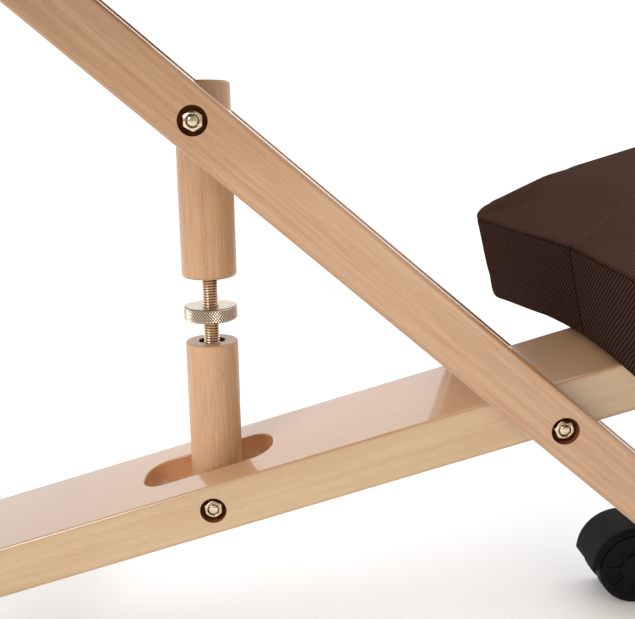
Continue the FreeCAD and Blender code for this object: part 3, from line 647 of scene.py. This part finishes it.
for caster in ("rear_right", "rear_left", "front_right", "front_left"):
    for side, outward in (("right", -1), ("left", 1)):
        node = f"{caster}_caster_wheel_{side}"
        low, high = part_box(node)
        inner = high.y if outward < 0 else low.y
        hub = axis_frame(Vector(((low.x + high.x) / 2, inner, (low.z + high.z) / 2)),
                         (0, outward, 0))
        piece(node + "_tread", *lathe(TREAD, 72, closed=True), GREY, node, (), "black_plastic",
              30, hub)
        piece(node + "_core", *merged(lathe(FACE, 72), spokes()), BLACK, node, [node],
              "black_plastic", 30, hub)

# --- cushions -------------------------------------------------------------------------------------
VOXEL = 5.0                     # remesh size
PAD_CORNER = 31.0
PUFF_LIMIT = 7.0                # the furthest that the cloth moves a point
PUFF_FRAMES = 20


def rounded_ring(half_x, half_y, corner, height, count=16):
    """A rounded rectangle's points."""
    points = []
    for k, (sx, sy) in enumerate(((1, 1), (-1, 1), (-1, -1), (1, -1))):
        for i in range(count):
            a = (k + i / (count - 1)) * math.pi / 2
            points.append((sx * (half_x - corner) + corner * math.cos(a),
                           sy * (half_y - corner) + corner * math.sin(a), height))
    return points


def cushion(name, node, body, at, half, foot, crease, crown, material, warp=None):
    """A boxed pad: wall up to a seam, then a crowned top in two panels, puffed by simulation."""
    half_x, half_y = half
    corner = PAD_CORNER
    rings = [rounded_ring(half_x - 16, half_y - 16, corner - 14, foot + 0.8),
             rounded_ring(half_x - 2, half_y - 5, corner - 6, foot + 0.8),
             rounded_ring(half_x + 3.0, half_y - 2.2, corner - 4, foot + 5),
             rounded_ring(half_x + 1.8, half_y - 1.2, corner - 4, (foot + crease) / 2),
             rounded_ring(half_x - 0.4, half_y - 0.6, corner - 4, crease - 3)]
    rise = crown - crease
    for inset, share in ((0.6, 0.0), (-0.2, 0.22), (0.6, 0.42), (3, 0.60), (7, 0.75), (13, 0.87),
                         (22, 0.95), (37, 1.0), (62, 1.03)):
        rings.append(rounded_ring(half_x - inset, half_y - max(inset, 0.4),
                                  max(corner - 4 - inset * 0.4, 8), crease + rise * share))
    count = len(rings[0])
    points = [p for ring in rings for p in ring]
    faces = grid_faces(len(rings), count)
    faces.append(tuple(range(count))[::-1])
    faces.append(tuple(range((len(rings) - 1) * count, len(rings) * count)))
    mesh = bpy.data.meshes.new(name)
    mesh.from_pydata((np.array(points) * MM).tolist(), [], faces)
    pad = bpy.data.objects.new(name, mesh)
    bpy.context.scene.collection.objects.link(pad)
    bpy.context.view_layer.objects.active = pad
    remesh = pad.modifiers.new("remesh", "REMESH")
    remesh.mode, remesh.voxel_size = "VOXEL", VOXEL * MM
    bpy.ops.object.modifier_apply(modifier=remesh.name)
    rest = np.empty(len(pad.data.vertices) * 3)
    pad.data.vertices.foreach_get("co", rest)
    rest = rest.reshape(-1, 3)
    place = rest / MM
    edge = np.minimum(half_x - np.abs(place[:, 0]), half_y - np.abs(place[:, 1]))
    held = (place[:, 2] < foot + 4) | ((np.abs(place[:, 2] - crease) < 3.2) & (edge < 9))
    held |= (np.abs(place[:, 1]) < 3.0) & (place[:, 2] < crease + 3)
    group = pad.vertex_groups.new(name="seams")
    group.add(np.nonzero(held)[0].tolist(), 1.0, "REPLACE")
    cloth = pad.modifiers.new("cloth", "CLOTH")
    settings = cloth.settings
    settings.quality, settings.mass = 6, 0.35
    settings.tension_stiffness = settings.compression_stiffness = 14.0
    settings.shear_stiffness, settings.bending_stiffness = 6.0, 1.2
    settings.use_pressure, settings.uniform_pressure_force = True, 4.0
    settings.effector_weights.gravity = 0.0
    settings.vertex_group_mass = group.name
    scene = bpy.context.scene
    for step in range(1, PUFF_FRAMES + 1):
        scene.frame_set(step)
    posed = pad.evaluated_get(bpy.context.evaluated_depsgraph_get())
    moved = np.empty(len(rest) * 3)
    posed.data.vertices.foreach_get("co", moved)
    shift = moved.reshape(-1, 3) - rest
    size = np.linalg.norm(shift, axis=1, keepdims=True)
    shift *= np.minimum(1.0, PUFF_LIMIT * MM / np.maximum(size, 1e-9))
    pad.modifiers.remove(cloth)
    scene.frame_set(1)
    pad.data.vertices.foreach_set("co", (rest + shift).ravel())
    finer = pad.modifiers.new("finer", "SUBSURF")
    finer.levels = finer.render_levels = 1
    bpy.ops.object.modifier_apply(modifier=finer.name)

    # sewn seams: cut loops beside each line, then press the line in
    model = bmesh.new()
    model.from_mesh(pad.data)
    for offset in (-2.4, -0.9, 0.0, 0.9, 2.4):
        for point, normal in (((0, offset * MM, 0), (0, 1, 0)),
                              ((0, 0, (crease + offset) * MM), (0, 0, 1))):
            bmesh.ops.bisect_plane(model, geom=model.verts[:] + model.edges[:] + model.faces[:],
                                   plane_co=point, plane_no=normal, dist=1e-6)
    model.normal_update()
    for vert in model.verts:
        x, y, z = vert.co / MM
        edge = min(half_x - abs(x), half_y - abs(y))
        press = 0.0
        if z > foot + 3:
            press = 0.9 * math.exp(-(y / 0.7) ** 2) + 0.7 * math.exp(-(y / 7.0) ** 2)
            if z > crease + 3:
                press *= 0.4
        if edge < 12:
            press += 0.6 * math.exp(-((z - crease) / 0.7) ** 2)
        vert.co -= vert.normal * press * MM
    model.to_mesh(pad.data)
    model.free()

    flat = np.empty(len(pad.data.vertices) * 3)
    pad.data.vertices.foreach_get("co", flat)
    flat = flat.reshape(-1, 3)
    if warp is not None:
        flat = warp(flat / MM) * MM
    turn = np.array(at)
    flat = flat @ turn[:3, :3].T + turn[:3, 3]
    pad.data.vertices.foreach_set("co", flat.ravel())
    pad.data.materials.clear()
    pad.data.materials.append(material)
    pad.data.shade_smooth()
    pad.data.update()
    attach(pad, body)
    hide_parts(node)
    return pad


KNEE_MIDDLE, KNEE_HALF = 360.5, (117.5, 228.0)
KNEE_ARCH, KNEE_FOOT, KNEE_CREASE, KNEE_CROWN = 2100.0, 15.5, 77.5, 92.5
CROWN_DROP = 0.38               # share of the arch that the crown follows


def arch_knee(place):
    """Drop the pad's ends along its arched board, the lower edge most, and lift the hem."""
    x, y, z = place.T
    share = np.clip((KNEE_CREASE - z) / (KNEE_CREASE - KNEE_FOOT), 0, 1)
    drop = y ** 2 / (2 * KNEE_ARCH)
    far = np.clip((np.abs(y) - 70) / 158, 0, 1)
    near = 1 - np.clip((np.abs(y) - 25) / 100, 0, 1)
    near = near * near * (3 - 2 * near)
    edge = KNEE_HALF[0] - np.abs(x)
    rim = np.clip(1 - edge / 26, 0, 1) * np.clip(1 - (z - KNEE_FOOT) / 26, 0, 1)
    waist = np.exp(-(y / 75) ** 2) * np.clip((np.abs(x) - 50) / 60, 0, 1)
    x = x - np.sign(x) * 4.5 * waist
    lowered = z - drop * (CROWN_DROP + (1 - CROWN_DROP) * share) - 8.0 * far * share + 1.5 * near * rim
    return np.stack([x, y, lowered], 1)


cushion("knee_pad", "knee_cushion", "base",
        BEAM @ Matrix.Translation((KNEE_MIDDLE * MM, 0, 0)), KNEE_HALF, KNEE_FOOT, KNEE_CREASE,
        KNEE_CROWN, twill("knee_twill", BEAM, KNEE_CREASE, CROWN_DROP / 2 / KNEE_ARCH),
        arch_knee)

SEAT_HALF = (161.5, 220.0)
SEAT_FOOT, SEAT_CREASE, SEAT_CROWN = 0.6, 58.0, 74.5
BOARD_THICK = 12.0
SEAT = (slope_frame(middle("seat_board"), SEAT_SLOPE)
        @ Matrix.Translation((0, 0, -BOARD_THICK / 2 * MM)))
cushion("seat_pad", "seat_cushion", "seat_frame", SEAT, SEAT_HALF, SEAT_FOOT, SEAT_CREASE,
        SEAT_CROWN, twill("seat_twill", SEAT, SEAT_CREASE, 0.0))

# --- studio ---------------------------------------------------------------------------------------
scene = bpy.context.scene
scene.view_settings.view_transform = "Standard"

floor_mesh = bpy.data.meshes.new("floor")
floor_mesh.from_pydata([(-9, -9, 0), (9, -9, 0), (9, 9, 0), (-9, 9, 0)], [], [(0, 1, 2, 3)])
floor = bpy.data.objects.new("floor", floor_mesh)
scene.collection.objects.link(floor)
paper = Shader("paper", Roughness=0.9)
floor_mesh.materials.append(paper.surface(
    paper.mix(paper.noise(paper.local(Matrix.Identity(4)), 0.01), (0.97, 0.97, 0.97, 1),
              (0.99, 0.99, 0.99, 1))))

# the surround is brighter toward the back and the right
world = bpy.data.worlds.new("studio")
scene.world = world
world.use_nodes = True
sky = world.node_tree
facing = sky.nodes.new("ShaderNodeTexCoord")
split = sky.nodes.new("ShaderNodeSeparateXYZ")
sky.links.new(facing.outputs["Generated"], split.inputs[0])
span = sky.nodes.new("ShaderNodeMapRange")
span.interpolation_type = "SMOOTHSTEP"
for socket, value in (("From Min", -0.9), ("From Max", 0.9), ("To Min", 0.60), ("To Max", 1.45)):
    span.inputs[socket].default_value = value
lean = sky.nodes.new("ShaderNodeMath")
lean.operation = "MULTIPLY_ADD"
lean.inputs[1].default_value = 0.35
sky.links.new(split.outputs["X"], lean.inputs[0])
sky.links.new(split.outputs["Y"], lean.inputs[2])
sky.links.new(lean.outputs[0], span.inputs["Value"])
sky.links.new(span.outputs["Result"], sky.nodes["Background"].inputs["Strength"])
sky.nodes["Background"].inputs["Color"].default_value = (1, 1, 1, 1)


def softbox(name, place, aim, size, power):
    """A rectangular area light aimed at a point."""
    data = bpy.data.lights.new(name, "AREA")
    data.shape, data.size, data.size_y = "RECTANGLE", size[0], size[1]
    data.energy = power
    light = bpy.data.objects.new(name, data)
    scene.collection.objects.link(light)
    light.location = place
    light.rotation_mode = "QUATERNION"
    light.rotation_quaternion = (Vector(aim) - Vector(place)).to_track_quat("-Z", "Y")


softbox("key", (-2.6, -2.4, 2.5), LOWER, (1.8, 1.8), 92)

camera_data = bpy.data.cameras.new("camera")
camera = bpy.data.objects.new("camera", camera_data)
scene.collection.objects.link(camera)
camera_data.sensor_width, camera_data.lens = 36.0, 45.12
camera_data.shift_x, camera_data.shift_y = 0.046, -0.0167
camera_data.clip_start = 0.02
AZIMUTH, ELEVATION = math.radians(-1.284), math.radians(12.18)
toward = Vector((math.sin(AZIMUTH) * math.cos(ELEVATION), -math.cos(AZIMUTH) * math.cos(ELEVATION),
                 math.sin(ELEVATION)))
camera.location = LOWER + Vector((34.32, -472.57, 219.76)) * MM
camera.rotation_mode = "QUATERNION"
camera.rotation_quaternion = toward.to_track_quat("Z", "Y")
scene.camera = camera

bpy.context.view_layer.update()
